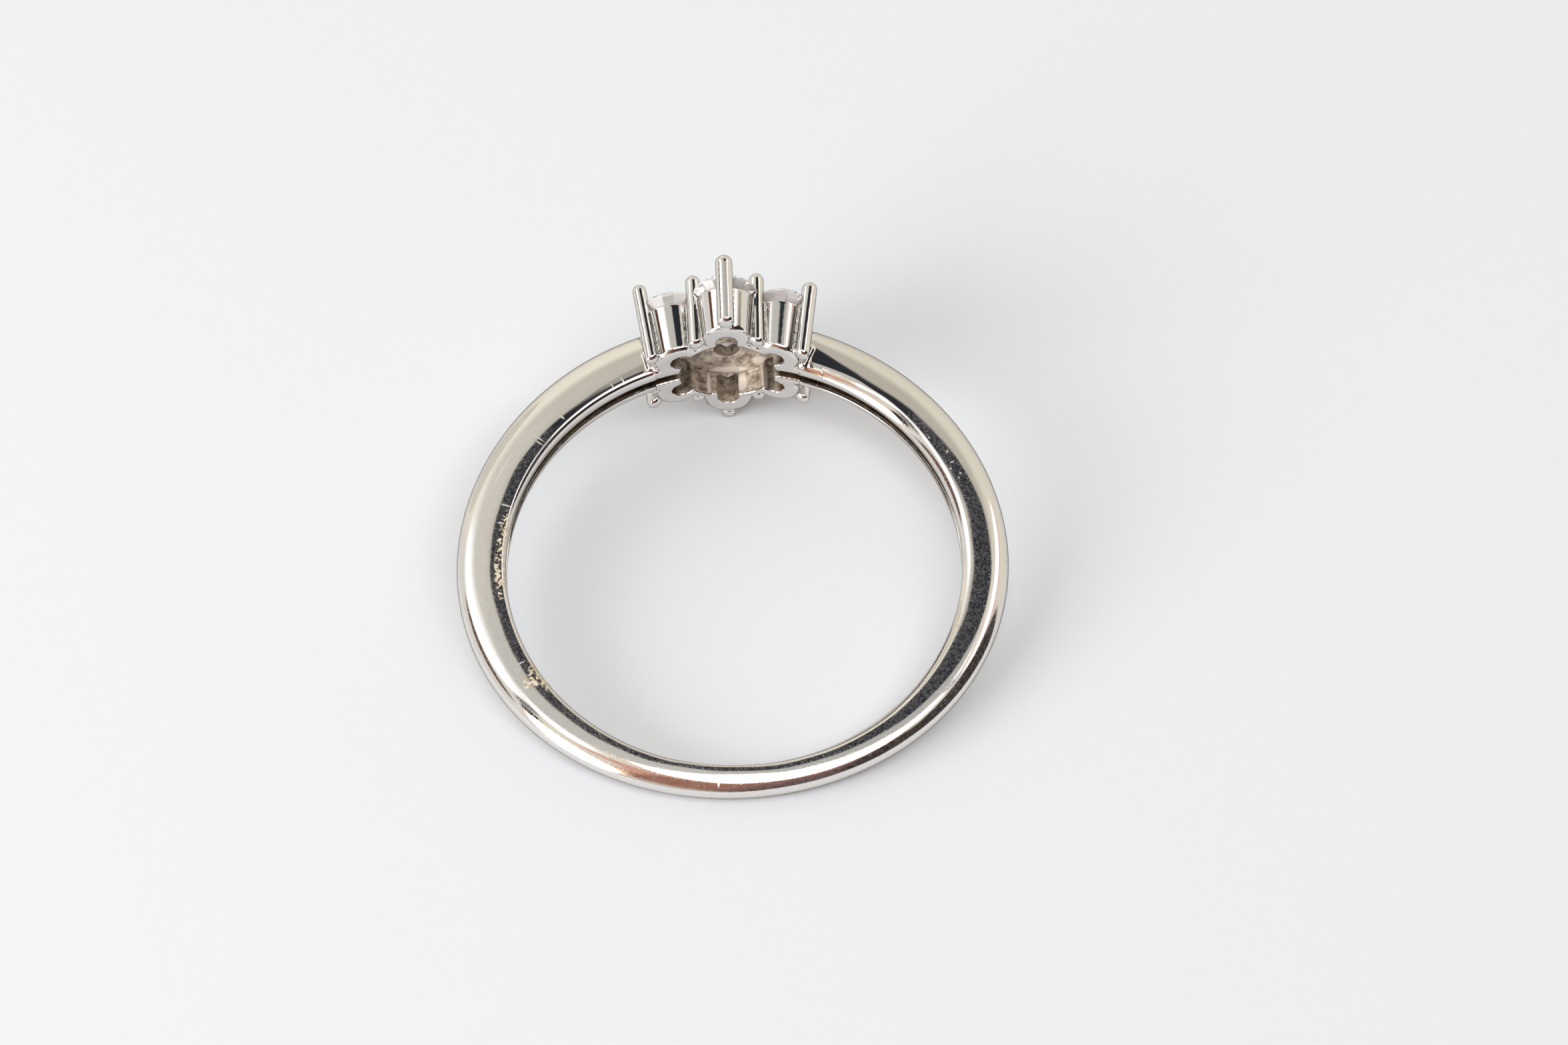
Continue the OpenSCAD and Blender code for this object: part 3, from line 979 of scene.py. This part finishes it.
# Surroundings: what the polished metal shows. Each is an oval patch of the sky, painted over the ones before
# it: middle in direction coordinates (right, away, up), reach along each of them, softness of its edge and
# linear colour
ALL = 9.0
FAR_WALL = (0.86, 0.81, 0.68)
UPPER_WALL = (0.57, 0.53, 0.46)
FRONT_LIGHT = (3.8, 3.8, 3.85)
FRONT_LAMP = (6.2, 6.2, 6.3)
SIDE_LIGHT = (1.5, 1.5, 1.52)
GLOW = (0.95, 0.58, 0.42)
PATCHES = (
    ("pale left wall", (-1.0, -0.1, 0), (0.55, 0.9, 0.8), 0.3, (0.80, 0.77, 0.73)),
    ("brown room in front", (0.15, -1.1, 0), (0.72, 0.85, ALL), 0.1, (0.26, 0.12, 0.095)),
    ("lit part of the room", (-0.2, -0.62, 0.7), (0.25, 0.2, 0.4), 0.35, (0.42, 0.19, 0.125)),
    ("dark cupboard", (0.45, -0.90, 0.15), (0.55, 0.30, 0.4), 0.4, (0.125, 0.08, 0.075)),
    ("orange edge of the room", (-0.38, -0.54, 0.75), (0.20, 0.17, 0.5), 0.5, (0.80, 0.46, 0.34)),
    ("brown end of the room", (-0.22, -0.80, 0.7), (0.26, 0.28, 0.5), 0.25, (0.35, 0.155, 0.105)),
    ("orange side of the lamp", (-0.42, -0.50, 0.76), (0.13, 0.19, 0.3), 0.35, (0.72, 0.36, 0.25)),
    ("pale edge beside the lamp", (-0.50, -0.48, 0.72), (0.10, 0.16, 0.14), 0.4, (0.80, 0.76, 0.70)),
    ("table edge in front", (-0.45, -0.95, 0), (0.35, 0.5, 0.28), 0.4, (0.62, 0.53, 0.45)),
    ("glow of the lamp", (-0.66, -0.55, 0.35), (0.235, 0.37, 0.43), 0.12, (1.0, 0.55, 0.28)),
    ("lamp in front on the left", (-0.68, -0.55, 0.31), (0.19, 0.34, 0.42), 0.1, FRONT_LAMP),
    ("glow of the front light", (0.20, -0.21, 1), (0.45, 0.54, 1), 0.06, GLOW),
    ("front light", (0.20, -0.20, 1), (0.42, 0.51, 1), 0.04, FRONT_LIGHT),
    ("glow of the right light", (0.72, 0.21, 0.7), (0.10, 0.38, 0.6), 0.12, (0.85, 0.60, 0.56)),
    ("black corner", (0.90, -0.39, 0.3), (0.27, 0.56, 0.6), 0.06, (0.04, 0.032, 0.03)),
    ("black corner in front", (0.70, -0.70, 0.3), (0.27, 0.30, 0.6), 0.25, (0.035, 0.025, 0.022)),
    ("pale ceiling beside the left light", (-0.36, 0.28, 0.9), (0.30, 0.38, 0.5), 0.5, (0.86, 0.84, 0.79)),
    ("left light", (-0.63, 0.22, 0.7), (0.20, 0.33, 0.5), 0.2, SIDE_LIGHT),
    ("light over the lamp", (-0.41, -0.14, 0.88), (0.10, 0.17, 0.2), 0.3, SIDE_LIGHT),
    ("dim end of the left light", (-0.50, 0.56, 0.65), (0.16, 0.12, 0.3), 0.4, (1.1, 1.08, 1.05)),
    ("dark gap between the lights", (-0.62, -0.16, 0.75), (0.10, 0.05, 0.3), 0.3, (0.20, 0.19, 0.19)),
    ("dark post beside the lamp", (-0.70, -0.26, 0.66), (0.08, 0.055, 0.3), 0.2, (0.05, 0.04, 0.04)),
    ("brown frame of the left light", (-0.87, 0.03, 0.45), (0.05, 0.26, 0.3), 0.2, (0.13, 0.065, 0.04)),
    ("far wall over the lights", (0.1, 1.2, 1), (1.0, 0.84, 2), 0.08, FAR_WALL),
    ("lighter far wall on the left", (-0.42, 0.85, 0.3), (0.45, 0.40, 0.6), 0.5, (1.02, 0.96, 0.83)),
    ("upper far wall", (0.05, 0.44, 1), (0.52, 0.34, 0.6), 0.3, UPPER_WALL),
    ("lighter upper wall on the left", (-0.32, 0.36, 0.9), (0.26, 0.30, 0.5), 0.6, (0.72, 0.69, 0.62)),
    ("olive curtain", (-0.60, 0.74, 0.3), (0.22, 0.17, 0.3), 0.06, (0.74, 0.70, 0.60)),
    ("right light", (0.70, 0.22, 0.7), (0.068, 0.34, 0.5), 0.15, SIDE_LIGHT),
    ("gap before the right light", (0.59, -0.12, 0.8), (0.08, 0.05, 0.3), 0.4, (0.50, 0.50, 0.55)),
    ("grey ceiling on the left", (-0.18, 0.05, 1), (0.24, 0.22, 1), 0.18, (0.62, 0.61, 0.57)),
    ("grey ceiling on the right", (0.28, -0.01, 1), (0.30, 0.27, 1), 0.15, (0.52, 0.51, 0.48)),
    ("dark of the camera", (0.225, 0.235, 1), (0.29, 0.215, 1), 0.08, (0.028, 0.030, 0.038)),
)
SEEN_BEHIND = linear("#e4e3e3")


def studio():
    """Paints the patches one over the other, and shows a plain pale wall to the camera itself."""
    world = bpy.data.worlds.new("studio")
    bpy.context.scene.world = world
    world.use_nodes = True
    tree = world.node_tree
    tree.nodes.clear()
    direction = add(tree, "ShaderNodeTexCoord").outputs["Generated"]
    colour = (*FAR_WALL, 1)
    for label, middle, reach, soft, paint in PATCHES:
        length = from_middle(tree, direction, middle, reach)
        outside = carried(tree, length, 1 - soft, 1 + soft, curve="SMOOTHSTEP")
        colour = mixed(tree, outside, (*paint, 1), colour, label=label)
    light = add(tree, "ShaderNodeBackground", {"Color": colour})
    wall = add(tree, "ShaderNodeBackground", {"Color": SEEN_BEHIND})
    seen = add(tree, "ShaderNodeLightPath").outputs["Is Camera Ray"]
    both = add(tree, "ShaderNodeMixShader", {0: seen, 1: light.outputs[0], 2: wall.outputs[0]})
    add(tree, "ShaderNodeOutputWorld", {"Surface": both.outputs[0]})


studio()

# A soft low lamp on the left gives the shadows their direction; the metal shows the painted lights alone
LAMP_PLACE = (-0.17, -0.058, 0.069)
LAMP_SIZE = 0.064
LAMP_WATTS = 0.118


def add_lamp():
    """A square lamp that faces the origin and is not itself seen in the metal."""
    lamp_data = bpy.data.lights.new("lamp", "AREA")
    lamp_data.size = LAMP_SIZE
    lamp_data.energy = LAMP_WATTS
    lamp = bpy.data.objects.new("lamp", lamp_data)
    lamp.location = LAMP_PLACE
    lamp.rotation_euler = Vector(LAMP_PLACE).to_track_quat("Z", "Y").to_euler()
    lamp.visible_glossy = False
    bpy.context.scene.collection.objects.link(lamp)


add_lamp()

bpy.context.scene.view_settings.view_transform = "Standard"
